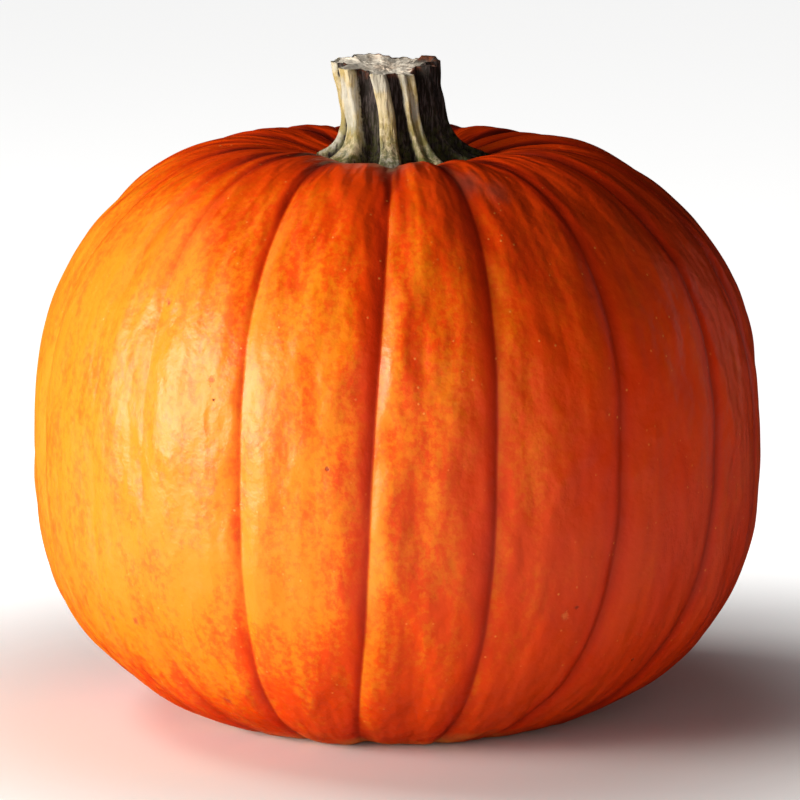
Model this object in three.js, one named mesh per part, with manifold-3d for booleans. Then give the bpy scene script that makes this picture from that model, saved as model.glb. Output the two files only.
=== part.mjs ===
// A ripe field pumpkin, cut from its vine with a short handle of woody stem left on it.
//
// It has two pieces: the ribbed fruit, and the fluted stem whose splayed foot follows the hollow in
// the fruit's crown. Both are a lathe's grid of rows and columns, laid on the skin of the real shape:
// rows run up the piece, and each groove or flute has a column of its own along its deepest line.
//
// Millimetres, +Z up. The fruit stands on the flat spot that it grew on, at Z = 0, and the origin is
// under the middle of the whole. Turns are in degrees from the front (-Y), growing towards +X.
import * as THREE from "three";
import { mergeVertices } from "three/addons/utils/BufferGeometryUtils.js";
import Module from "manifold-3d";

// The fruit: an oval of revolution with a hollow at each end, then its grooves.
const GIRTH_RADIUS = 135.6; // axis to the crest of a rib, at the widest
const FRONT_TO_BACK = 0.972; // the fruit is a little narrower front to back than across
const CROWN_RISE = 123.5; // girth up to the top of the oval
const BELLY_DROP = 112.8; // girth down to the bottom of the oval
const CROWN_FULLNESS = 2.36; // 2 is an ellipse, and more is boxier
const BELLY_FULLNESS = 2.55;
const STEM_HOLLOW = { depth: 25, radius: 46 };
const BLOSSOM_HOLLOW = { depth: 11, radius: 26 };
const FLATTENED = 7; // how much of the underside the ground has pressed flat
const SLOUCH = 2.2; // how far its underside has sagged towards -X
const LOPSIDED = { share: 0.01, turn: 160 }; // the side that grew fuller, and by how much

// Each groove: its turn at the girth, how far it drifts from belly to crown and how far both its ends
// curve round (in degrees), and its depth. fold is where a shallow crease runs down the rib that
// follows, as a share of that rib's width.
const GROOVES = [
  { turn: -3.6, drift: 11.5, bow: -3, depth: 2.9, fold: 0.37, foldDepth: 0.8 },
  { turn: 15.7, drift: 6.5, bow: -1, depth: 2.8, fold: 0.32, foldDepth: 0.6 },
  { turn: 37, drift: 12, bow: -8, depth: 2.5, fold: 0.42, foldDepth: 0.7 },
  { turn: 60, drift: 14, bow: -10, depth: 2.3, fold: 0.5, foldDepth: 0.5 },
  { turn: 79, drift: 4, bow: -3, depth: 2.4, fold: 0.6, foldDepth: 0.6 },
  { turn: 98, drift: -1.5, bow: 2, depth: 2.8, fold: 0.4, foldDepth: 0.7 },
  { turn: 119.5, drift: 2, bow: 1, depth: 2.5, fold: 0.55, foldDepth: 0.8 },
  { turn: 138, drift: 0.5, bow: -2, depth: 2.9, fold: 0.38, foldDepth: 0.5 },
  { turn: 159.5, drift: -2, bow: -1, depth: 2.4, fold: 0.5, foldDepth: 0.9 },
  { turn: 178, drift: 1, bow: 2, depth: 2.7, fold: 0.42, foldDepth: 0.6 },
  { turn: 199.5, drift: 2.5, bow: 1, depth: 2.9, fold: 0.6, foldDepth: 0.7 },
  { turn: 218, drift: -1, bow: -2, depth: 2.3, fold: 0.45, foldDepth: 0.8 },
  { turn: 240.5, drift: 0.5, bow: 1, depth: 2.7, fold: 0.36, foldDepth: 0.5 },
  { turn: 261, drift: 1.5, bow: 2, depth: 2.4, fold: 0.52, foldDepth: 0.7 },
  { turn: 284, drift: 0, bow: 1, depth: 1.9, fold: 0.5, foldDepth: 0.5 },
  { turn: 305, drift: 4, bow: 2, depth: 1.3, fold: 0.55, foldDepth: 0.3 },
  { turn: 317, drift: -2, bow: -2, depth: 1.3, fold: 0.5, foldDepth: 0.4 },
  { turn: 335.5, drift: 0, bow: -5, depth: 2.9, fold: 0.55, foldDepth: 0.6 },
];
const GROOVE_SHOULDER = 5.5; // how far a rib rounds over into its groove
const NARROW_SHOULDER = 0.3; // the same where ribs are narrow, as a share of a rib's width
const FOLD_SHOULDER = 6;
const GROOVES_START = 12; // the grooves die away this close to the axis
const COLUMNS_PER_RIB = 6;
const COLUMN_CROWDING = 0.75; // columns crowd towards the grooves, from 0 evenly to 1
const FRUIT_ROWS = 30;

// The stem: a fluted column that leans a little, splays into feet, and was cut across unevenly.
const STEM_RADIUS = 19.5; // axis to the crest of a ridge, halfway up
const STEM_TOP = 242; // height of the cut above the ground
const STEM_ROOT = 184; // the column starts inside the fruit, and is cut back to its skin
const STEM_FOOT = { x: 1.2, y: 0 }; // the middle of the column at its foot, off the fruit's axis
const STEM_CUT = { x: -4.5, y: 0.5 }; // and at the cut
const FLUTE_DEPTH = 0.2; // as a share of the radius
const RIDGE_SHARPNESS = 0.8; // 1 is a plain wave, and less is a rounder ridge over a tighter flute
const CUT_FLARE = 0.03; // the column widens by this share at the cut
const CUT_REACH = 6; // more keeps the cut's flare and uneven rim closer to the cut
const FOOT_RISE = 4; // the height over which the feet sweep up into the column
const FOOT_SHARE = 0.4; // how much of a foot's reach is left in a flute
const CUT_EDGE = { drop: 1, share: 0.94 }; // over this drop the edge is worn back to this share
const STEM_ROWS = 13;
const COLUMNS_PER_RIDGE = 6;
// Each ridge: its turn, how far its foot reaches out, and how far its top stands above the cut.
const RIDGES = [
  { turn: -5, foot: 9.5, top: -1.6 },
  { turn: 26, foot: 10.5, top: -1.4 },
  { turn: 62, foot: 15, top: 1.2 },
  { turn: 98, foot: 14.5, top: 1.6 },
  { turn: 150, foot: 10.5, top: 0 },
  { turn: 203, foot: 11.5, top: 1.2 },
  { turn: 252, foot: 14, top: 0.4 },
  { turn: 309, foot: 13.5, top: -1 },
];

const GAP = 0.35; // clearance between the stem's foot and the skin under it
const WELD = 1e-3; // corners closer than this are one corner

const wasm = await Module();
wasm.setup();

const { clamp, degToRad: radians, lerp, smoothstep } = THREE.MathUtils;
const QUARTER_TURN = Math.PI / 2;
const HALF_TURN = Math.PI;
const FULL_TURN = 2 * Math.PI;

// A column's place among evenly spread columns, as the marker that it follows (a groove or a ridge),
// the share of the way to the next one, and the turn in radians.
function placeOfColumn(column, perMarker, markers, crowding) {
  const index = Math.floor(column / perMarker) % markers.length;
  const even = (column % perMarker) / perMarker;
  const share = even - (crowding * Math.sin(FULL_TURN * even)) / FULL_TURN;
  const from = radians(markers[index].turn);
  const next = radians(markers[(index + 1) % markers.length].turn);
  const span = next > from ? next - from : next - from + FULL_TURN;
  return { index, share, span, turn: from + share * span };
}

// The fruit's outline with no grooves, at a latitude from -90 degrees (belly) to 90 (crown), in radians.
function fruitOutline(latitude) {
  const above = latitude > 0;
  const power = 2 / (above ? CROWN_FULLNESS : BELLY_FULLNESS);
  const out = Math.max(Math.cos(latitude), 0) ** power;
  const up = Math.abs(Math.sin(latitude)) ** power;
  const radius = GIRTH_RADIUS * out;
  const hollow = above ? STEM_HOLLOW : BLOSSOM_HOLLOW;
  const dip = hollow.depth * Math.exp(-((radius / hollow.radius) ** 2));
  const height = above ? CROWN_RISE * up - dip : dip - BELLY_DROP * up;
  return new THREE.Vector2(radius, height);
}

// The height of the ground under the girth: the lowest point of the outline, pressed flat.
function groundHeight() {
  const samples = 200;
  let lowest = 0;
  for (let sample = 0; sample <= samples; sample++) {
    lowest = Math.min(lowest, fruitOutline((-QUARTER_TURN * sample) / samples).y);
  }
  return lowest + FLATTENED;
}
const GROUND = groundHeight();

// The outline's outward direction at that latitude.
function fruitNormal(latitude) {
  const step = 1e-3;
  const ahead = fruitOutline(Math.min(latitude + step, QUARTER_TURN));
  const behind = fruitOutline(Math.max(latitude - step, -QUARTER_TURN));
  const along = ahead.sub(behind).normalize();
  return new THREE.Vector2(along.y, -along.x);
}

// How far the skin lies under the smooth outline, at a column's place and a distance from the axis.
function grooveDepth({ index, share, span }, radius) {
  const here = GROOVES[index];
  const next = GROOVES[(index + 1) % GROOVES.length];
  const ribWidth = span * radius;
  const shoulder = Math.min(GROOVE_SHOULDER, NARROW_SHOULDER * ribWidth) + WELD;
  const foldShoulder = Math.min(FOLD_SHOULDER, NARROW_SHOULDER * ribWidth) + WELD;
  const near = here.depth * Math.exp((-share * ribWidth) / shoulder);
  const far = next.depth * Math.exp(((share - 1) * ribWidth) / shoulder);
  const fold = here.foldDepth * Math.exp((-Math.abs(share - here.fold) * ribWidth) / foldShoulder);
  return (near + far + fold) * smoothstep(radius, 0, GROOVES_START);
}

// A point of the skin, grown outwards by `grown`.
function skinPoint(latitude, place, grown) {
  const outline = fruitOutline(latitude);
  const normal = fruitNormal(latitude);
  const inwards = grooveDepth(place, outline.x) - grown;
  const radius = Math.max(outline.x - inwards * normal.x, 0);
  const height = outline.y - inwards * normal.y - GROUND;
  const here = GROOVES[place.index];
  const next = GROOVES[(place.index + 1) % GROOVES.length];
  const level = latitude / QUARTER_TURN;
  const drift = (lerp(here.drift, next.drift, place.share) * level) / 2;
  const bow = lerp(here.bow, next.bow, place.share) * level * level;
  const turn = place.turn + radians(drift + bow);
  const full = 1 + LOPSIDED.share * Math.cos(turn - radians(LOPSIDED.turn));
  return new THREE.Vector3(
    radius * full * Math.sin(turn) - SLOUCH * Math.max(-level, 0) ** 2,
    -radius * full * FRONT_TO_BACK * Math.cos(turn),
    Math.max(height, -grown),
  );
}

// A closed grid of rows and columns, whose points come from pointAt(row, column).
function latheGrid(rows, columns, pointAt) {
  const axisToAxis = [];
  for (let row = 0; row < rows; row++) {
    axisToAxis.push(new THREE.Vector2(row === 0 || row === rows - 1 ? 0 : 1, row));
  }
  const grid = new THREE.LatheGeometry(axisToAxis, columns);
  grid.deleteAttribute("normal");
  grid.deleteAttribute("uv");
  const position = grid.getAttribute("position");
  for (let column = 0; column <= columns; column++) {
    for (let row = 0; row < rows; row++) {
      const point = pointAt(row, column % columns);
      position.setXYZ(column * rows + row, point.x, point.y, point.z);
    }
  }
  return mergeVertices(grid, WELD);
}

function fruitGeometry(grown) {
  const columns = COLUMNS_PER_RIB * GROOVES.length;
  return latheGrid(FRUIT_ROWS, columns, (row, column) => {
    const latitude = HALF_TURN * (row / (FRUIT_ROWS - 1) - 0.5);
    const place = placeOfColumn(column, COLUMNS_PER_RIB, GROOVES, COLUMN_CROWDING);
    return skinPoint(latitude, place, grown);
  });
}

// The stem's rows, from the middle of its root to the middle of its cut: each has a share of the
// height and a share of the radius.
function stemRows() {
  const rows = [{ up: 0, out: 0 }];
  for (let row = 0; row < STEM_ROWS; row++) {
    rows.push({ up: row / (STEM_ROWS - 1), out: 1 });
  }
  rows.at(-1).out = CUT_EDGE.share;
  rows.splice(-1, 0, { up: 1 - CUT_EDGE.drop / (STEM_TOP - STEM_ROOT), out: 1 });
  rows.push({ up: 1, out: CUT_EDGE.share / 2 }, { up: 1, out: 0 });
  return rows;
}

// A point of the stem. The feet spread where the column meets the hollow in the crown.
function stemPoint({ up, out }, { index, share, turn }) {
  const here = RIDGES[index];
  const next = RIDGES[(index + 1) % RIDGES.length];
  const hollowFloor = CROWN_RISE - STEM_HOLLOW.depth - GROUND;
  const height = STEM_ROOT + up * (STEM_TOP - STEM_ROOT);
  const ridge = ((1 + Math.cos(FULL_TURN * share)) / 2) ** RIDGE_SHARPNESS;
  const foot = lerp(here.foot, next.foot, share);
  const splay = Math.exp(-Math.max(height - hollowFloor - FOOT_RISE, 0) / FOOT_RISE);
  const nearCut = up ** CUT_REACH;
  const column = STEM_RADIUS * (1 + CUT_FLARE * nearCut - FLUTE_DEPTH * (1 - ridge));
  const radius = out * (column + foot * splay * lerp(FOOT_SHARE, 1, ridge));
  const lean = clamp((height - hollowFloor) / (STEM_TOP - hollowFloor), 0, 1);
  const top = lerp(here.top, next.top, share) * out * nearCut;
  return new THREE.Vector3(
    radius * Math.sin(turn) + lerp(STEM_FOOT.x, STEM_CUT.x, lean),
    -radius * Math.cos(turn) + lerp(STEM_FOOT.y, STEM_CUT.y, lean),
    height + top,
  );
}

function stemGeometry() {
  const rows = stemRows();
  const columns = COLUMNS_PER_RIDGE * RIDGES.length;
  return latheGrid(rows.length, columns, (row, column) =>
    stemPoint(rows[row], placeOfColumn(column, COLUMNS_PER_RIDGE, RIDGES, 0)),
  );
}

function solidOf(geometry) {
  return new wasm.Manifold(
    new wasm.Mesh({
      numProp: 3,
      vertProperties: geometry.getAttribute("position").array,
      triVerts: new Uint32Array(geometry.index.array),
    }),
  );
}

function geometryOf(solid) {
  const mesh = solid.getMesh();
  return new THREE.BufferGeometry()
    .setAttribute("position", new THREE.BufferAttribute(mesh.vertProperties, 3))
    .setIndex(new THREE.BufferAttribute(mesh.triVerts, 1));
}

function named(name, geometry, color, roughness) {
  const material = new THREE.MeshStandardMaterial({ color, roughness, metalness: 0 });
  const mesh = new THREE.Mesh(geometry, material);
  mesh.name = name;
  return mesh;
}

const fruit = named("fruit", fruitGeometry(0), 0xd9600f, 0.42);
const stemOverFruit = solidOf(stemGeometry()).subtract(solidOf(fruitGeometry(GAP)));
const stem = named("stem", geometryOf(stemOverFruit), 0x8c8056, 0.85);

const pumpkin = new THREE.Group();
pumpkin.add(fruit, stem);
const middle = new THREE.Box3().setFromObject(pumpkin).getCenter(new THREE.Vector3());
pumpkin.position.set(-middle.x, -middle.y, 0);

export default pumpkin;
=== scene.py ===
import math
import bmesh
import bpy
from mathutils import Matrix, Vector, noise


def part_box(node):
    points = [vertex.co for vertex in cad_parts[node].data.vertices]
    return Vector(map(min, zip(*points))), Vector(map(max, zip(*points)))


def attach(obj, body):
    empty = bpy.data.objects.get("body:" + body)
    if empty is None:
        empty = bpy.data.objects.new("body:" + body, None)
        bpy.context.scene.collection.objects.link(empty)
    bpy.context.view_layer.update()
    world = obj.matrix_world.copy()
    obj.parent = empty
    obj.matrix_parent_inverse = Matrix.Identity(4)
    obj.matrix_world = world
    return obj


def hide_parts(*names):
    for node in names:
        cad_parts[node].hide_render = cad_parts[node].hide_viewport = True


# A ripe pumpkin with its cut stem. Metres, +Z up, standing on Z = 0. Turns are in degrees from the
# front (-Y), growing towards +X, and a latitude runs from -90 under the fruit to 90 at its crown.

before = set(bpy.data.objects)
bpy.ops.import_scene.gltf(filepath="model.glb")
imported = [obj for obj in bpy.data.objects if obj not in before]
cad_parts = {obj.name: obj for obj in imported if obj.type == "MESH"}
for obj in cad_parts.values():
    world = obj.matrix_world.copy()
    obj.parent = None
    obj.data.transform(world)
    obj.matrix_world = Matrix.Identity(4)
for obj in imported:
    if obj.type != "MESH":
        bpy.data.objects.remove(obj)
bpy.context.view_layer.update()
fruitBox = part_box("fruit")
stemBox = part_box("stem")
girth = (fruitBox[1][0] - fruitBox[0][0]) / 2  # the fruit's radius where it is broadest
mm = 0.001
fullTurn = 2 * math.pi


def mixed(a, b, share):
    return a + (b - a) * share


def eased(value, low, high):
    share = min(max((value - low) / (high - low), 0), 1)
    return share * share * (3 - 2 * share)


def bell(distance, width):
    return math.exp(-((distance / width) ** 2))


def apart(turnA, turnB):
    # the short way round between two turns, in degrees
    return abs((turnA - turnB + 180) % 360 - 180)


def waver(turn, level, pick):
    # a smooth random number between -1 and 1, and each pick gives another set of them
    return noise.noise(Vector((turn, level, pick)))


# The fruit. Lengths are shares of the girth's radius unless they say mm, and a level is a latitude as a
# share of 90 degrees.
fruitShape = {
    "frontToBack": 0.972,
    "crownRise": 0.911,
    "crownFullness": 2.36,  # 2 is an ellipse, and more is boxier
    "bellyDrop": 0.832,
    "bellyFullness": 2.55,
    "stemHollow": {"depth": 0.184, "radius": 0.339},
    "blossomHollow": {"depth": 0.081, "radius": 0.192},
    "blossomButton": {"depth": 0.014, "radius": 0.03},
    "pressedFlat": 0.0516,
    "pressedEdgeMm": 2.0,  # how softly the flat spot turns up into the belly
    "sag": 0.0162,  # how far its underside has sagged towards -X
    "lopsided": 0.01,
    "lopsidedTurn": 160,
    "shoulderMm": 5.4,  # how far a rib rounds over into its groove
    "shoulderShare": 0.3,  # the same where ribs are narrow, as a share of a rib's width
    "creaseMm": 0.3,  # how rounded the very bottom of a groove is
    "grooveStart": 0.09,  # grooves die away this close to the axis
    "bellyGroove": 0.6,  # the share of a groove's depth that is left under the belly
    "bellyLevels": (-0.75, -0.25),  # and the levels between which it is lost
    "grooveUneven": 0.25,  # how much a groove's depth varies along it
    "grooveWander": 0.5,  # degrees
    "foldSway": 1.2,  # degrees
    "foldFade": 12,  # degrees of latitude over which a fold comes and goes
    "foldReach": 20,  # degrees to either side beyond which a fold does nothing
    "lumpStart": 0.35,  # lumps die away this close to the axis
    "columnsPerRib": 20,
    "rows": 268,
    "crowding": 0.75,  # columns crowd towards the grooves, from 0 evenly to 1
}

# turn at the girth, how far it drifts from belly to crown and how far both ends curve round, all in
# degrees, and its depth in mm
grooves = [
    (-3.6, 11.5, -3, 2.9),
    (15.7, 6.5, -1, 2.7),
    (37.0, 12.0, -8, 2.3),
    (60.0, 14.0, -10, 1.9),
    (79.0, 4.0, -3, 2.2),
    (98.0, -1.5, 2, 2.6),
    (119.5, 2.0, 1, 2.3),
    (138.0, 0.5, -2, 2.7),
    (159.5, -2.0, -1, 2.2),
    (178.0, 1.0, 2, 2.5),
    (199.5, 2.5, 1, 2.7),
    (218.0, -1.0, -2, 2.1),
    (240.5, 0.5, 1, 2.5),
    (261.0, 1.5, 2, 2.2),
    (284.0, 0.0, 1, 1.5),
    (305.0, 4.0, 2, 0.8),
    (317.0, -2.0, -2, 0.9),
    (335.5, 0.0, -5, 2.6),
]

# shallow folds down the ribs: turn, depth and width in mm, and the latitudes where it fades
folds = [
    (3.6, 1.1, 4.0, -60, 75),
    (21.0, 0.6, 4.0, -30, 80),
    (29.0, 0.9, 5.0, -50, 60),
    (45.0, 0.8, 5.0, -70, 75),
    (52.0, 0.6, 6.0, -40, 40),
    (68.0, 0.7, 5.0, -60, 70),
    (87.0, 0.9, 5.0, -50, 75),
    (108.0, 0.9, 5.0, -70, 60),
    (128.0, 0.7, 6.0, -40, 75),
    (146.5, 0.9, 5.0, -60, 70),
    (170.0, 0.8, 5.0, -70, 50),
    (187.0, 0.7, 5.5, -30, 75),
    (208.0, 0.9, 4.5, -60, 70),
    (230.5, 0.8, 6.0, -50, 60),
    (249.0, 0.7, 5.0, -60, 75),
    (271.5, 0.9, 5.0, -40, 70),
    (294.0, 0.6, 5.0, -60, 60),
    (327.0, 0.5, 7.0, -20, 60),
    (342.5, 0.7, 5.0, -50, 70),
    (348.5, 0.6, 4.0, -20, 50),
]

# broad and fine unevenness: size across and along the rib in mm, and height in mm
lumps = [
    (60, 80, 1.1),
    (17, 40, 1.15),
    (8, 17, 0.55),
]


def outlineAt(latitude):
    shape = fruitShape
    above = latitude > 0
    power = 2 / (shape["crownFullness"] if above else shape["bellyFullness"])
    radius = max(math.cos(latitude), 0) ** power
    up = abs(math.sin(latitude)) ** power
    hollow = shape["stemHollow"] if above else shape["blossomHollow"]
    dip = hollow["depth"] * bell(radius, hollow["radius"])
    if above:
        return radius, shape["crownRise"] * up - dip
    button = shape["blossomButton"]
    return radius, dip - shape["bellyDrop"] * up - button["depth"] * bell(radius, button["radius"])


def outwardAt(latitude):
    step = 1e-3
    ahead = outlineAt(min(latitude + step, math.pi / 2))
    behind = outlineAt(max(latitude - step, -math.pi / 2))
    along = Vector((ahead[0] - behind[0], ahead[1] - behind[1])).normalized()
    return along.y, -along.x


def evenRows(rows):
    # rows of latitude the same length apart along the outline, with that length from the girth
    samples = 6000
    latitudes = [math.pi * (i / samples - 0.5) for i in range(samples + 1)]
    points = [outlineAt(latitude) for latitude in latitudes]
    lengths = [0]
    for before, after in zip(points, points[1:]):
        lengths.append(lengths[-1] + math.dist(before, after))
    found = []
    sample = 0
    for row in range(rows + 1):
        wanted = lengths[-1] * row / rows
        while sample < samples and lengths[sample] < wanted:
            sample += 1
        found.append((latitudes[sample], wanted - lengths[samples // 2]))
    return found


def columnPlace(column):
    # the groove before a column, the share of the way to the next, and the rib's width in degrees
    perRib = fruitShape["columnsPerRib"]
    index = (column // perRib) % len(grooves)
    even = (column % perRib) / perRib
    share = even - fruitShape["crowding"] * math.sin(fullTurn * even) / fullTurn
    here = grooves[index][0]
    width = (grooves[(index + 1) % len(grooves)][0] - here) % 360
    return index, share, width


def skinPoint(row, column):
    # one point of the skin, and what the rind's colour needs to know about it
    shape = fruitShape
    latitude, along = row
    radius, height = outlineAt(latitude)
    outX, outZ = outwardAt(latitude)
    index, share, width = columnPlace(column)
    here = grooves[index]
    after = grooves[(index + 1) % len(grooves)]
    level = latitude / (math.pi / 2)
    turn = here[0] + share * width + mixed(here[1], after[1], share) * level / 2
    turn += mixed(here[2], after[2], share) * level * level
    wander = [waver(marker[0] * 3.1, level * 2.3, 5) for marker in (here, after)]
    turn += shape["grooveWander"] * mixed(wander[0], wander[1], share)
    angle = math.radians(turn)

    ribWidth = math.radians(width) * radius * girth
    shoulder = min(shape["shoulderMm"] * mm, shape["shoulderShare"] * ribWidth) + 1e-6
    crease = shape["creaseMm"] * mm
    fade = eased(radius, 0, shape["grooveStart"])
    belly = mixed(shape["bellyGroove"], 1, eased(level, *shape["bellyLevels"]))
    deep = 0
    groove = 0
    for marker, distance in ((here, share * ribWidth), (after, (1 - share) * ribWidth)):
        uneven = 1 + shape["grooveUneven"] * waver(marker[0] * 1.7, level * 3.1, 9)
        away = math.sqrt(distance * distance + crease * crease) - crease
        near = math.exp(-away / shoulder) * fade
        deep += marker[3] * mm * uneven * near * belly
        groove = max(groove, near)
    fold = 0
    fading = shape["foldFade"]
    degrees = math.degrees(latitude)
    for foldTurn, depth, foldWidth, low, high in folds:
        if apart(turn, foldTurn) < shape["foldReach"]:
            sway = shape["foldSway"] * waver(foldTurn, level * 2, 3)
            distance = math.radians(apart(turn, foldTurn + sway)) * radius * girth
            begun = eased(degrees, low - fading, low + fading)
            ended = eased(degrees, high - fading, high + fading)
            fold = max(fold, depth * begun * (1 - ended) * math.exp(-distance / (foldWidth * mm)))
    meridian = Vector((math.sin(angle) * girth, -math.cos(angle) * girth, along * girth))
    swell = 0
    for across, lengthwise, tall in lumps:
        spot = Vector((meridian.x / across, meridian.y / across, meridian.z / lengthwise)) / mm
        swell += tall * noise.noise(spot) * eased(radius, 0, shape["lumpStart"])
    inwards = deep + (fold - swell) * mm
    outward = radius * girth - inwards * outX
    outward *= 1 + shape["lopsided"] * math.cos(angle - math.radians(shape["lopsidedTurn"]))
    place = Vector(
        (
            outward * math.sin(angle) - shape["sag"] * girth * max(-level, 0) ** 2,
            -outward * math.cos(angle) * shape["frontToBack"],
            height * girth - inwards * outZ,
        )
    )
    return place, groove, meridian


def newPiece(name, mesh, material, node):
    mesh.normal_update()
    data = bpy.data.meshes.new(name)
    mesh.to_mesh(data)
    mesh.free()
    for face in data.polygons:
        face.use_smooth = True
    piece = bpy.data.objects.new(name, data)
    bpy.context.scene.collection.objects.link(piece)
    data.materials.append(material)
    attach(piece, "root")
    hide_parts(node)


def settleInto(mesh, box):
    # moves and barely scales the mesh so that its box is the frame's
    low = Vector([min(v.co[i] for v in mesh.verts) for i in range(3)])
    high = Vector([max(v.co[i] for v in mesh.verts) for i in range(3)])
    scale = Vector([(box[1][i] - box[0][i]) / (high[i] - low[i]) for i in range(3)])
    middle = (low + high) / 2
    wanted = (Vector(box[0]) + Vector(box[1])) / 2
    bmesh.ops.translate(mesh, vec=-middle, verts=mesh.verts)
    bmesh.ops.scale(mesh, vec=scale, verts=mesh.verts)
    bmesh.ops.translate(mesh, vec=wanted, verts=mesh.verts)


def gridPlace(vertex, columns, rows):
    # the column and row at which a vertex stands while the mesh is still a plain ball
    turn = math.atan2(vertex.co.x, -vertex.co.y) % fullTurn
    up = math.asin(min(max(vertex.co.z, -1), 1)) / math.pi + 0.5
    return round(turn / fullTurn * columns) % columns, round(up * rows)


def buildFruit(material):
    shape = fruitShape
    columns = shape["columnsPerRib"] * len(grooves)
    rows = evenRows(shape["rows"])
    broadestLump = lumps[0][2] * mm
    mesh = bmesh.new()
    grooveLayer = mesh.verts.layers.float.new("groove")
    levelLayer = mesh.verts.layers.float.new("level")
    keyLitLayer = mesh.verts.layers.float.new("keyLit")
    meridianLayer = mesh.verts.layers.float_vector.new("meridian")
    bmesh.ops.create_uvsphere(mesh, u_segments=columns, v_segments=shape["rows"], radius=1)
    lowest = 0
    for vertex in mesh.verts:
        column, row = gridPlace(vertex, columns, shape["rows"])
        place, groove, meridian = skinPoint(rows[row], column)
        vertex.co = place
        vertex[grooveLayer] = groove
        vertex[levelLayer] = rows[row][0] / (math.pi / 2)
        vertex[meridianLayer] = meridian
        lowest = min(lowest, place.z)
    # all that hangs below the ground's height is pressed up flat
    ground = lowest + shape["pressedFlat"] * girth - broadestLump
    edge = shape["pressedEdgeMm"] * mm
    for vertex in mesh.verts:
        above = vertex.co.z - ground
        if above < edge:
            vertex.co.z = ground + (max(above, -edge) + edge) ** 2 / (4 * edge)
    settleInto(mesh, fruitBox)

    mesh.normal_update()
    # how much each point faces the key light, for the light and shade painted on the rind
    keyLightSide = Vector(rindLook["keyLightSide"]).normalized()
    for vertex in mesh.verts:
        vertex[keyLitLayer] = vertex.normal.dot(keyLightSide)
    newPiece("pumpkinFruit", mesh, material, "fruit")


# A shader's number, colour or vector, which adds its own Math nodes.
class Value:
    def __init__(self, graph, socket):
        self.graph = graph
        self.socket = socket

    def maths(self, operation, first, second):
        return self.graph.node("ShaderNodeMath", {"operation": operation}, first, second)

    def __add__(self, other):
        return self.maths("ADD", self, other)

    def __sub__(self, other):
        return self.maths("SUBTRACT", self, other)

    def __rsub__(self, other):
        return self.maths("SUBTRACT", other, self)

    def __mul__(self, other):
        return self.maths("MULTIPLY", self, other)

    def __pow__(self, other):
        return self.maths("POWER", self, other)

    __radd__ = __add__
    __rmul__ = __mul__


class Graph:
    def __init__(self, name):
        self.material = bpy.data.materials.new(name)
        self.material.use_nodes = True
        self.tree = self.material.node_tree
        self.shader = self.tree.nodes["Principled BSDF"]

    def plug(self, socket, value):
        if isinstance(value, Value):
            self.tree.links.new(value.socket, socket)
        else:
            socket.default_value = value

    def node(self, nodeType, settings, *values, output=0, **named):
        made = self.tree.nodes.new(nodeType)
        for key, setting in settings.items():
            setattr(made, key, setting)
        for index, value in enumerate(values):
            self.plug(made.inputs[index], value)
        for key, value in named.items():
            self.plug(made.inputs[int(key[5:]) if key.startswith("input") else key], value)
        return Value(self, made.outputs[output])

    def coordinates(self):
        return self.node("ShaderNodeTexCoord", {}, output="Object")

    def attribute(self, name, output="Fac"):
        return self.node("ShaderNodeAttribute", {"attribute_name": name}, output=output)

    def noise(self, vector, scale, detail=2.0, roughness=0.5, distortion=0.0):
        return self.node(
            "ShaderNodeTexNoise",
            {"noise_dimensions": "3D"},
            Vector=vector,
            Scale=scale,
            Detail=detail,
            Roughness=roughness,
            Distortion=distortion,
        )

    def cells(self, vector, scale):
        settings = {"feature": "F1"}
        return self.node("ShaderNodeTexVoronoi", settings, Vector=vector, Scale=scale, output="Distance")

    def step(self, value, low, high, start=0.0, end=1.0):
        settings = {"interpolation_type": "SMOOTHSTEP"}
        return self.node("ShaderNodeMapRange", settings, value, low, high, start, end)

    def blend(self, factor, first, second):
        # a Mix node's inputs 6 and 7 and its output 2 are the ones for colours
        first = first if isinstance(first, Value) else (*first, 1)
        second = second if isinstance(second, Value) else (*second, 1)
        settings = {"data_type": "RGBA", "blend_type": "MIX", "clamp_factor": True}
        return self.node("ShaderNodeMix", settings, factor, input6=first, input7=second, output=2)

    def heightOf(self, vector):
        return self.node("ShaderNodeSeparateXYZ", {}, vector, output="Z")

    def stretch(self, vector, factors):
        return self.node("ShaderNodeVectorMath", {"operation": "MULTIPLY"}, vector, factors)

    def bump(self, height, size, under=None):
        # size is the relief's height in mm and its strength, and under is the bump that it adds to
        distance, strength = size
        named = {"Strength": strength, "Distance": distance * mm, "Height": height}
        if under is not None:
            named["Normal"] = under
        return self.node("ShaderNodeBump", {}, **named)


rindLook = {
    "body": (0.70, 0.050, 0.0008),
    "keyLitHaze": (0.72, 0.260, 0.024),  # painted light: a pale haze where the skin faces the key light most
    "pale": (0.72, 0.185, 0.0030),  # mottles, and painted light over most of the side that faces the key light
    "mottleInShade": (0.74, 0.130, 0.0020),  # painted shade: the mottles' redder colour on the side away from the key light
    "deep": (0.66, 0.026, 0.0010),  # patches of deeper red, and painted shade over the side away from the key light and on the grooves' walls there
    "crease": (0.34, 0.016, 0.001),  # painted shade at the bottom of a groove on the side away from the key light
    "stemHollowShade": (0.16, 0.010, 0.004),  # painted shade in the grooves inside the stem's hollow
    "speck": (0.88, 0.30, 0.06),
    "smear": (0.16, 0.06, 0.04),
    "groundSpot": (0.70, 0.27, 0.045),
    "cork": (0.40, 0.25, 0.12),
    "keyLightSide": (-0.87, -0.5, 0.0),  # painted light: skin that faces this way, towards the window light, is painted paler
    "roughness": 0.37,
    "gloss": 0.32,
    "glossTint": (1, 0.88, 0.76, 1),
}

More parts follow.
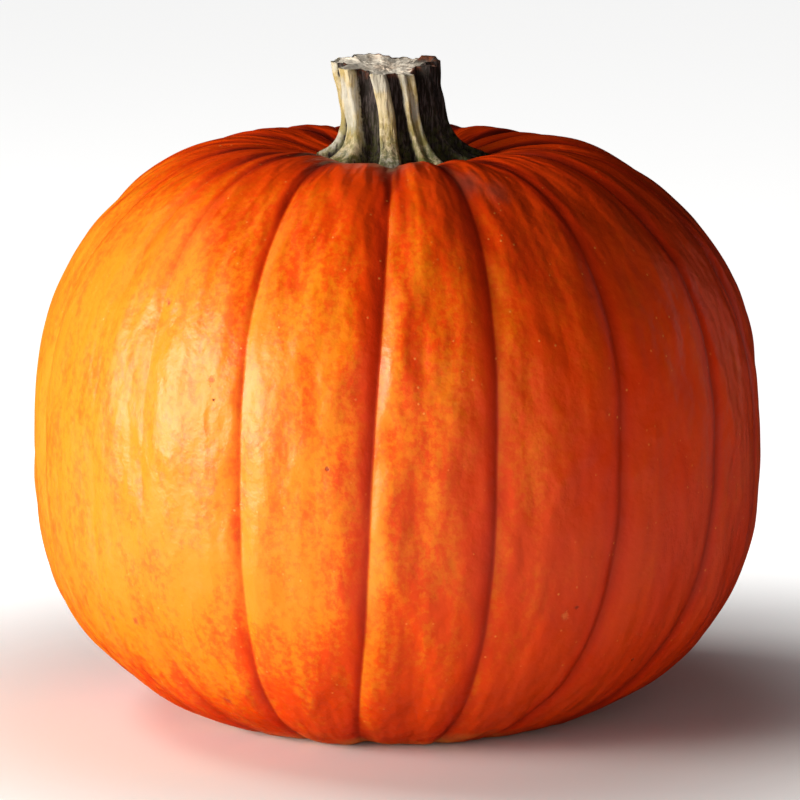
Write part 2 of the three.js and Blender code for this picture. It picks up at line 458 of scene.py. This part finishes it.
# patterns on the rind: scale per metre, detail, roughness and distortion
rindNoise = {
    "clouds": (42, 3, 0.5, 0.3),
    "blotches": (120, 4, 0.6, 0.3),
    "streaks": (150, 2, 0.5),
    "grain": (380, 3, 0.7),
    "redPatches": (34, 3, 0.55, 0.3),
    "speckGroups": (46, 2),
    "scarEdges": (620, 3, 0.7),
    "spotEdge": (45, 3, 0.6),
    "rubbed": (70, 3, 0.6),
    "dull": (90, 3, 0.6),
    "dents": (115, 1, 0.5),
    "peel": (300, 2, 0.5),
}

# how much each pattern counts in the mottles, and what is taken off so that they go both ways
rindMottle = {
    "clouds": 0.32,
    "blotches": 0.38,
    "streaks": 0.14,
    "grain": 0.38,
    "takenOff": 0.50,
}

# what else makes the rind paler, or deeper where the number is below zero
rindTone = {
    # painted light: how much paler the side facing the key light is painted
    "keyLit": 0.62,
    "crown": -0.1,
    "belly": -0.3,
    "everywhere": -0.01,
}

# how strongly each colour is laid on at most
rindStrength = {
    "keyLitHaze": 0.4,
    # painted shade: deeper red laid over the side away from the key light
    "paintedShadeRed": 0.25,
    "redPatches": 0.6,  # over what is between them
    "grooveWallShade": 0.9,
    "creaseShade": 0.75,
    "specks": 0.6,
    "groundSpot": 0.75,
}

# reliefs too fine for the mesh: height in mm and strength
rindRelief = {
    "dents": (3.0, 0.5),
    "peel": (0.6, 0.5),
    "specks": (0.12, 0.5),
    "scars": (0.4, 0.6),
}

# soft brown smears by the stem: turn, how far above the girth in mm, size in mm, how strong
smears = [
    (20.0, 129, 13, 0.55),
    (25.0, 121, 11, 0.45),
]

# marks on the rind: turn in degrees, how far above the girth in mm, size in mm, how strong, colour
scars = [
    (-42.0, 66, 1.3, 0.9, (0.10, 0.022, 0.008)),
    (-42.0, 66, 3.2, 0.4, (0.62, 0.10, 0.03)),
    (-30.0, 40, 2.6, 0.7, (0.42, 0.08, 0.03)),
    (-29.2, 33, 1.0, 0.9, (0.09, 0.02, 0.01)),
    (-10.2, 11, 1.4, 0.8, (0.22, 0.02, 0.006)),
    (47.5, -73, 1.5, 0.9, (0.06, 0.012, 0.006)),
    (-54.5, -56, 2.4, 0.5, (0.36, 0.06, 0.02)),
    (-48.2, -55, 2.8, 0.6, (0.30, 0.04, 0.015)),
    (-35.0, -91, 3.4, 0.7, (0.40, 0.035, 0.012)),
    (29.8, -43, 1.5, 0.6, (0.16, 0.02, 0.01)),
    (27.8, -46, 3.0, 0.5, (0.86, 0.22, 0.05)),
    (142.0, 25, 4.0, 0.7, (0.50, 0.24, 0.09)),
    (214.0, -30, 3.0, 0.7, (0.45, 0.20, 0.08)),
    (263.0, 48, 2.2, 0.8, (0.20, 0.04, 0.015)),
]


def makeRind():
    look = rindLook
    weight = rindMottle
    tint = rindTone
    strength = rindStrength
    graph = Graph("waxyOrangeRind")
    place = graph.coordinates()
    meridian = graph.attribute("meridian", "Vector")
    groove = graph.attribute("groove")
    level = graph.attribute("level")
    along = graph.stretch(meridian, (1, 1, 0.5))
    streaked = graph.stretch(meridian, (1, 1, 0.2))

    def pattern(vector, name):
        return graph.noise(vector, *rindNoise[name])

    clouds = graph.step(pattern(along, "clouds"), 0.25, 0.75)
    blotches = graph.step(pattern(along, "blotches"), 0.27, 0.75)
    streaks = graph.step(pattern(streaked, "streaks"), 0.3, 0.7)
    grain = graph.step(pattern(place, "grain"), 0.34, 0.66)
    # how much the skin faces the key light, which sets the painted light and shade
    keyLit = graph.step(graph.attribute("keyLit"), -0.1, 1.0)
    crown = graph.step(level, 0.3, 0.85)
    belly = graph.step(0 - level, 0.02, 0.55)

    # the rind's own orange and its mottles, with painted light and shade: the side facing the key light
    # is painted paler with stronger mottles
    mottle = clouds * weight["clouds"] + blotches * weight["blotches"]
    mottle = mottle + streaks * weight["streaks"] + grain * weight["grain"] - weight["takenOff"]
    mottle = mottle * (0.72 + keyLit * 0.8) * (1 - crown * 0.6)
    tone = mottle + keyLit * tint["keyLit"] + crown * tint["crown"] + belly * tint["belly"]
    tone = tone + tint["everywhere"]
    # painted light and shade: mottles pale on the side facing the key light, redder away from it
    mottleByLight = graph.blend(graph.step(keyLit, 0.15, 0.75), look["mottleInShade"], look["pale"])
    colour = graph.blend(graph.step(tone, 0.0, 0.95), look["body"], mottleByLight)
    # painted light: a pale haze where the skin faces the key light most
    keyLitHaze = graph.step(keyLit, 0.6, 1.0) * (1 - belly) * strength["keyLitHaze"]
    colour = graph.blend(keyLitHaze, colour, look["keyLitHaze"])

    # redder patches and a painted shade of deeper red on the side away from the key light, painted shade
    # on the grooves' walls and bottoms there, and painted shade in the grooves' ends by the stem
    redPatchesAndShade = graph.step(pattern(along, "redPatches"), 0.4, 0.75)
    shade = (1 - keyLit) ** 2
    redPatchesAndShade = redPatchesAndShade * (1 - crown * 0.6) * strength["redPatches"] + strength["paintedShadeRed"]
    # partly real redder patches and partly painted shade, both only on the side away from the key light
    colour = graph.blend(redPatchesAndShade * shade, colour, look["deep"])
    # painted shade on the groove walls on the side away from the key light
    paintedGrooveShade = graph.step(groove, 0.15, 0.75) * (1 - keyLit) * strength["grooveWallShade"]
    colour = graph.blend(paintedGrooveShade, colour, look["deep"])
    # painted shade at the bottom of the grooves on the side away from the key light
    paintedCreaseShade = graph.step(groove, 0.45, 1.0) * (1 - keyLit) * strength["creaseShade"]
    colour = graph.blend(paintedCreaseShade, colour, look["crease"])
    # painted shade in the grooves inside the stem's hollow
    inHollow = graph.step(level, 0.6, 0.8)
    colour = graph.blend(graph.step(groove, 0.3, 0.95) * inHollow, colour, look["stemHollowShade"])

    specks = 1 - graph.step(graph.cells(place, 230), 0.05, 0.14)
    specks = specks * graph.step(pattern(place, "speckGroups"), 0.46, 0.6)
    colour = graph.blend(specks * strength["specks"], colour, look["speck"])

    def awayFrom(turn, rise):
        angle = math.radians(turn)
        spot = (math.sin(angle) * girth, -math.cos(angle) * girth, rise * mm)
        settings = {"operation": "DISTANCE"}
        return graph.node("ShaderNodeVectorMath", settings, meridian, spot, output="Value")

    for turn, rise, size, strong in smears:
        smear = 1 - graph.step(awayFrom(turn, rise) * (blotches * 0.8 + 0.6), 0, size * mm)
        colour = graph.blend(smear * strong, colour, look["smear"])
    ragged = pattern(place, "scarEdges") * 2.4 - 0.2
    marks = 0
    for turn, rise, size, strong, scarColour in scars:
        away = awayFrom(turn, rise)
        mark = (1 - graph.step(away * ragged, size * 0.2 * mm, size * 0.7 * mm)) * strong
        colour = graph.blend(mark, colour, scarColour)
        marks = mark + marks

    # the underside, where it lay on the ground, and the blossom end's button
    lifted = graph.heightOf(place) + (pattern(place, "spotEdge") - 0.5) * 0.02
    pressed = 1 - graph.step(lifted, -0.001, 0.008)
    rubbed = graph.step(pattern(place, "rubbed"), 0.3, 0.7)
    worn = pressed * mixed(1 / 3, 1, rubbed) * strength["groundSpot"]
    colour = graph.blend(worn, colour, look["groundSpot"])
    button = 1 - graph.step(level + (blotches - 0.5) * 0.01, -0.985, -0.97)
    colour = graph.blend(button, colour, look["cork"])

    graph.plug(graph.shader.inputs["Base Color"], colour)
    dull = graph.step(pattern(along, "dull"), 0.3, 0.7, -0.05, 0.09)
    roughness = dull + pressed * 0.2 + button * 0.3 + graph.step(marks, 0, 1) * 0.25 + look["roughness"]
    graph.plug(graph.shader.inputs["Roughness"], roughness)
    graph.shader.inputs["Specular IOR Level"].default_value = look["gloss"]
    graph.shader.inputs["Specular Tint"].default_value = look["glossTint"]

    relief = graph.bump(pattern(along, "dents"), rindRelief["dents"])
    relief = graph.bump(pattern(place, "peel"), rindRelief["peel"], relief)
    relief = graph.bump(specks, rindRelief["specks"], relief)
    relief = graph.bump(0 - marks, rindRelief["scars"], relief)
    graph.plug(graph.shader.inputs["Normal"], relief)
    return graph.material


# The stem. Lengths are in mm unless they say otherwise.
stemShape = {
    "radius": 19.5,
    "fluteDepth": 0.25,  # share of the radius
    "ridgeEdges": (0.18, 0.74),  # how far up a flute's wall starts and a ridge's back begins
    "ridgeWander": 5,  # degrees
    "cleftWidth": 0.07,  # share of the way to the next ridge
    "cleftWander": 0.05,
    "cutFlare": 0.03,  # share of the radius
    "cutReach": 6,  # how close to the cut its flare and tilt keep, and more is closer
    "footRise": 4,  # how far up the feet's splay carries
    "footShare": 0.4,  # how much of a ridge's foot the flutes beside it share
    "footOff": (1.2, 0.0),  # the middle of the column at its foot, off the fruit's axis
    "cutOff": (-4.5, 0.5),  # and at the cut
    "cutTip": 1.7,  # how far the cut tips down on one side, and up on the other
    "cutTipTurn": 35,
    "dished": 0.8,
    "dishCurve": 0.6,
    "hornSides": (0.35, 0.65),  # where one ridge's top gives way to the next's
    "hornCurve": 4,  # how fast a ridge's top falls off inwards
    "bark": [(3.2, 14, 0.9), (8.0, 9, 0.55), (17.0, 5, 0.22)],  # how often round it, length, height
    "cutScale": 2.4,
    "cutRough": [(1, 0.9), (3.1, 0.5), (7, 0.3)],  # how often, height
    "columnsPerRidge": 34,
    "columnRows": 120,
    "cutRows": 36,
    "footOverSkin": 2.0,  # how far over the frame's lowest point of the stem the feet settle
    "rootUnderFoot": 14,
}

# turn, how far the foot reaches, how high its top stands over the cut, how pale its bark is, and how
# deep a thin cleft splits its back
ridges = [
    (-5, 9.5, 0.2, 1.0, 0.0),
    (26, 10.5, 0.2, 0.75, 1.6),
    # these two ridges, away from the key light, have dark bark that is partly their own and partly
    # painted shade
    (62, 14, 2.4, 0.03, 0.5),
    (98, 13.5, 3.0, 0.03, 0.8),
    (150, 10.5, 0.0, 0.5, 0.0),
    (203, 11.5, 0.6, 0.55, 1.2),
    (252, 12, 0.2, 0.9, 0.6),
    (309, 10.5, 0.0, 1.0, 0.8),
]


def stemPoint(row, column, floor, top):
    shape = stemShape
    perRidge = shape["columnsPerRidge"]
    index = (column // perRidge) % len(ridges)
    share = (column % perRidge) / perRidge
    here = ridges[index]
    after = ridges[(index + 1) % len(ridges)]
    turn = here[0] + share * ((after[0] - here[0]) % 360)
    own = here if share < 0.5 else after
    fromBack = min(share, 1 - share)
    root = floor - shape["rootUnderFoot"]
    if row <= shape["columnRows"]:
        up = row / shape["columnRows"]
        out = 1
    else:
        up = 1
        out = 1 - (row - shape["columnRows"]) / shape["cutRows"]
    height = root + up * (top - root)
    level = min(max((height - floor) / (top - floor), 0), 1)
    nearCut = level ** shape["cutReach"]
    foot = mixed(here[1], after[1], share)
    splay = math.exp(-max(height - floor - shape["footRise"], 0) / shape["footRise"])
    ridge = eased((1 + math.cos(fullTurn * share)) / 2, *shape["ridgeEdges"])
    angle = math.radians(turn + shape["ridgeWander"] * waver(own[0], level * 2.5, 1) * level)
    radius = shape["radius"] * (1 + shape["cutFlare"] * nearCut - shape["fluteDepth"] * (1 - ridge))
    radius += foot * splay * mixed(shape["footShare"], 1, ridge)
    cleft = fromBack + shape["cleftWander"] * waver(own[0], level * 4, 7)
    radius -= own[4] * bell(cleft, shape["cleftWidth"])
    for often, length, tall in shape["bark"]:
        spot = Vector((math.sin(angle) * often, -math.cos(angle) * often, height / length))
        radius += tall * noise.noise(spot) * (1 + splay)
    rise = mixed(here[2], after[2], eased(share, *shape["hornSides"])) * nearCut
    rise *= out ** shape["hornCurve"]
    if up == 1:
        spot = Vector((out * math.sin(angle), out * math.cos(angle), 0.5)) * shape["cutScale"]
        for often, tall in shape["cutRough"]:
            rise += tall * noise.noise(spot * often)
        rise -= shape["dished"] * (1 - out) ** shape["dishCurve"]
    tipped = math.cos(angle - math.radians(shape["cutTipTurn"]))
    rise -= shape["cutTip"] * tipped * out * nearCut
    radius *= out
    offX = mixed(shape["footOff"][0], shape["cutOff"][0], level)
    offY = mixed(shape["footOff"][1], shape["cutOff"][1], level)
    place = Vector(
        (
            radius * math.sin(angle) + offX,
            -radius * math.cos(angle) + offY,
            height + rise,
        )
    )
    return place * mm, ridge, own[3], level, out


def buildStem(material):
    shape = stemShape
    columns = shape["columnsPerRidge"] * len(ridges)
    rowCount = shape["columnRows"] + shape["cutRows"]
    tallest = max(ridge[2] for ridge in ridges)
    top = stemBox[1][2] / mm - tallest
    floor = stemBox[0][2] / mm + shape["footOverSkin"]
    mesh = bmesh.new()
    names = ("ridge", "pale", "level", "cutShare")
    layers = [mesh.verts.layers.float.new(name) for name in names]
    bmesh.ops.create_uvsphere(mesh, u_segments=columns, v_segments=rowCount, radius=1)
    for vertex in mesh.verts:
        column, row = gridPlace(vertex, columns, rowCount)
        place, *facts = stemPoint(row, column, floor, top)
        if row == 0:
            place.x = shape["footOff"][0] * mm
            place.y = 0
        vertex.co = place
        for layer, fact in zip(layers, facts):
            vertex[layer] = fact
    newPiece("pumpkinStem", mesh, material, "stem")


stemLook = {
    "cream": (0.58, 0.48, 0.29),
    "straw": (0.42, 0.31, 0.12),
    "chalk": (0.50, 0.50, 0.46),  # streaks of pale, bluish bark
    # dark bark of the furrows and cracks, made darker still as painted shade
    "furrow": (0.016, 0.011, 0.008),
    "ash": (0.125, 0.095, 0.090),  # dry streaks in the furrows
    "moss": (0.120, 0.125, 0.028),
    "rust": (0.26, 0.075, 0.030),  # where the furrows meet the cut
    "pith": (1.0, 0.90, 0.76),
    "pithStain": (0.76, 0.58, 0.43),
    "roughness": (0.66, 0.9),
    "gloss": 0.25,
}

# patterns on the stem: scale per metre, detail and roughness
stemNoise = {
    "strands": (700, 3, 0.6),
    "fine": (1900, 3, 0.6),
    "blotch": (130, 4, 0.65),
    "crumbs": (420, 3, 0.6),
    "chalky": (75, 2),
}

# how strongly each colour is laid on at most
stemStrength = {
    "chalk": 0.65,
    "mossOnBark": 0.85,
    "ash": 0.7,
    "mossInFurrows": 0.5,
    "rust": 0.8,
    "cracks": 0.35,
    "rings": 0.5,
    "core": 0.6,
}

# the stem's fine reliefs: height in mm and strength
stemRelief = {
    "strands": (1.2, 0.7),
    "fine": (0.4, 0.6),
    "crumbs": (0.9, 0.5),
}


def makeStemWood():
    look = stemLook
    strength = stemStrength
    graph = Graph("corkyStemWood")
    place = graph.coordinates()
    ridge = graph.attribute("ridge")
    pale = graph.attribute("pale")
    level = graph.attribute("level")
    cutShare = graph.attribute("cutShare")
    fibre = graph.stretch(place, (1, 1, 0.1))
    strands = graph.noise(fibre, *stemNoise["strands"])
    fine = graph.noise(fibre, *stemNoise["fine"])
    blotch = graph.noise(place, *stemNoise["blotch"])
    crumbs = graph.noise(place, *stemNoise["crumbs"])

    # pale bark on the ridges
    strawy = graph.step(blotch + (strands - 0.5) * 0.5, 0.42, 0.6)
    cream = graph.blend(strawy, look["cream"], look["straw"])
    chalky = graph.step(graph.noise(place, *stemNoise["chalky"]) + (strands - 0.5) * 0.5, 0.46, 0.62)
    cream = graph.blend(chalky * strength["chalk"], cream, look["chalk"])
    low = 1 - graph.step(level, 0.05, 0.7)
    green = low + (1 - pale) * 0.5
    mossy = green * graph.step(crumbs * 0.6 + blotch * 0.4 + (strands - 0.5) * 0.3, 0.38, 0.58)
    cream = graph.blend(mossy * strength["mossOnBark"], cream, look["moss"])
    edge = ridge + (strands - 0.5) * 0.8 + (crumbs - 0.5) * 0.5 + (blotch - 0.5) * 0.4 - low * 0.12
    bark = graph.step(edge, 0.32, 0.62)

    # dark furrows, partly their own bark and partly painted shade, and the ridges that are dark all
    # over, partly their own bark and partly painted shade on the side away from the key light
    ashy = graph.step(fine + (strands - 0.5) * 0.6, 0.46, 0.68)
    dark = graph.blend(ashy * strength["ash"], look["furrow"], look["ash"])
    damp = low * graph.step(crumbs, 0.4, 0.65) * strength["mossInFurrows"]
    dark = graph.blend(damp, dark, look["moss"])
    rusty = graph.step(level + (crumbs - 0.5) * 0.2, 0.92, 1.0) * graph.step(blotch, 0.42, 0.6)
    dark = graph.blend(rusty * strength["rust"], dark, look["rust"])
    colour = graph.blend(bark * graph.step(pale, 0.0, 0.9), dark, cream)
    cracked = graph.step(fine, 0.6, 0.72) * strength["cracks"]
    colour = graph.blend(cracked, colour, look["furrow"])

    # the cut face, where the dark ridges' bark reaches over its edge
    onCut = (1 - graph.step(cutShare, 0.93, 0.99)) * graph.step(pale - cutShare, -0.93, -0.4)
    rings = graph.step(blotch + (crumbs - 0.5) * 0.8, 0.46, 0.66)
    pith = graph.blend(rings * strength["rings"], look["pith"], look["pithStain"])
    core = 1 - graph.step(cutShare + (blotch - 0.5) * 0.3, 0.16, 0.3)
    pith = graph.blend(core * strength["core"], pith, look["pithStain"])
    colour = graph.blend(onCut, colour, pith)
    graph.plug(graph.shader.inputs["Base Color"], colour)
    graph.plug(graph.shader.inputs["Roughness"], graph.step(strands, 0.2, 0.8, *look["roughness"]))
    graph.shader.inputs["Specular IOR Level"].default_value = look["gloss"]
    onBark = 1 - onCut * 0.85
    relief = graph.bump(strands * onBark, stemRelief["strands"])
    relief = graph.bump(fine * onBark, stemRelief["fine"], relief)
    relief = graph.bump(crumbs, stemRelief["crumbs"], relief)
    graph.plug(graph.shader.inputs["Normal"], relief)
    return graph.material


# The room: a floor of paper, and paper all round that carries on from it and curves up. In metres.
roomShape = {
    "floorRadius": 0.6,
    "flat": 4.0,
    "bend": 1.2,
    "bendSteps": 16,
    "tall": 3.2,
    "around": 96,
}

roomLook = {
    "paper": (0.86, 0.86, 0.86),
    "paperRoughness": 0.9,
    "paperGlow": 0.84,  # keeps the far paper as pale as the lit floor
    "glowFrom": (0.12, 0.34),  # the distances from the middle between which the glow comes in
}


def makePaper():
    # far from the pumpkin the paper glows by itself, so that it is even
    look = roomLook
    graph = Graph("palePaper")
    settings = {"operation": "LENGTH"}
    away = graph.node("ShaderNodeVectorMath", settings, graph.coordinates(), output="Value")
    glow = graph.blend(graph.step(away, *look["glowFrom"]), (0, 0, 0), (1, 1, 1))
    graph.shader.inputs["Base Color"].default_value = (*look["paper"], 1)
    graph.shader.inputs["Roughness"].default_value = look["paperRoughness"]
    graph.plug(graph.shader.inputs["Emission Color"], glow)
    graph.shader.inputs["Emission Strength"].default_value = look["paperGlow"]
    return graph.material


def spunPaper(name, outline, material):
    # a round of paper whose section is the outline, as distances from the middle and heights
    mesh = bmesh.new()
    section = [mesh.verts.new((distance, 0, height)) for distance, height in outline]
    edges = [mesh.edges.new(pair) for pair in zip(section, section[1:])]
    bmesh.ops.spin(
        mesh,
        geom=section + edges,
        cent=(0, 0, 0),
        axis=(0, 0, 1),
        angle=fullTurn,
        steps=roomShape["around"],
        use_merge=True,
    )
    bmesh.ops.remove_doubles(mesh, verts=mesh.verts, dist=1e-5)
    bmesh.ops.recalc_face_normals(mesh, faces=mesh.faces)
    data = bpy.data.meshes.new(name)
    mesh.to_mesh(data)
    mesh.free()
    data.materials.append(material)
    paper = bpy.data.objects.new(name, data)
    bpy.context.scene.collection.objects.link(paper)
    return paper


def buildRoom():
    shape = roomShape
    flat = shape["flat"]
    bend = shape["bend"]
    paper = makePaper()
    floor = spunPaper("paperFloor", [(0, 0), (shape["floorRadius"], 0)], paper)
    floor.visible_glossy = False
    outline = [(shape["floorRadius"], 0)]
    for step in range(shape["bendSteps"] + 1):
        angle = step / shape["bendSteps"] * math.pi / 2
        outline.append((flat + bend * math.sin(angle), bend * (1 - math.cos(angle))))
    outline.append((flat + bend, shape["tall"]))
    # the backdrop is there for the camera alone, and adds no light of its own to the pumpkin
    backdrop = spunPaper("paperBackdrop", outline, paper)
    backdrop.visible_diffuse = False
    backdrop.visible_glossy = False


# Power in watts, size across and up, place, the point it shines at, colour, and whether it shows as a
# highlight and whether it lights matt surfaces.
roomLights = {
    "windowLight": {
        "power": 52,
        "size": (0.95, 0.95),
        "place": (-1.41, -0.66, 0.27),
        "aim": (0, 0, 0.12),
        "colour": (1, 0.97, 0.9),
        "highlight": True,
        "matt": True,
    },
    "roomLight": {
        "power": 12,
        "size": (1.8, 1.2),
        "place": (0.1, -1.65, 0.15),
        "aim": (0, 0, 0.12),
        "colour": (1, 0.97, 0.93),
        "highlight": False,
        "matt": True,
    },
    "rimLight": {
        "power": 0.6,
        "size": (0.4, 1.0),
        "place": (1.5, 0.9, 0.3),
        "aim": (0, 0, 0.12),
        "colour": (1, 1, 1),
        "highlight": True,
        "matt": False,
    },
    "skyLight": {
        "power": 6.5,
        "size": (0.5, 0.5),
        "place": (-0.9, 0.3, 1.2),
        "aim": (0, 0, 0.24),
        "colour": (1, 0.98, 0.94),
        "highlight": False,
        "matt": True,
    },
}
allAroundLight = 0.04


def turnedTo(aim, place):
    return (Vector(aim) - Vector(place)).to_track_quat("-Z", "Y").to_euler()


def lightRoom():
    for name, look in roomLights.items():
        data = bpy.data.lights.new(name, "AREA")
        data.shape = "RECTANGLE"
        data.size, data.size_y = look["size"]
        data.energy = look["power"]
        data.color = look["colour"]
        light = bpy.data.objects.new(name, data)
        light.location = look["place"]
        light.rotation_euler = turnedTo(look["aim"], look["place"])
        light.visible_camera = False
        light.visible_glossy = look["highlight"]
        light.visible_diffuse = look["matt"]
        bpy.context.scene.collection.objects.link(light)
    world = bpy.data.worlds.new("softRoom")
    world.use_nodes = True
    world.node_tree.nodes["Background"].inputs["Color"].default_value = (1, 1, 1, 1)
    world.node_tree.nodes["Background"].inputs["Strength"].default_value = allAroundLight
    world.cycles_visibility.glossy = False
    bpy.context.scene.world = world
    bpy.context.scene.view_settings.view_transform = "Standard"


cameraLook = {
    "distance": 2.2,
    "elevation": 10,  # degrees
    "aim": (0.0011, 0, 0.1158),
    "lens": 267,
}


def placeCamera():
    look = cameraLook
    elevation = math.radians(look["elevation"])
    back = Vector((0, -math.cos(elevation), math.sin(elevation)))
    aim = Vector(look["aim"])
    place = aim + back * look["distance"]
    data = bpy.data.cameras.new("camera")
    data.lens = look["lens"]
    camera = bpy.data.objects.new("camera", data)
    camera.location = place
    camera.rotation_euler = turnedTo(aim, place)
    bpy.context.scene.collection.objects.link(camera)
    bpy.context.scene.camera = camera


print("fruit")
buildFruit(makeRind())
print("stem")
buildStem(makeStemWood())
print("room")
buildRoom()
lightRoom()
placeCamera()
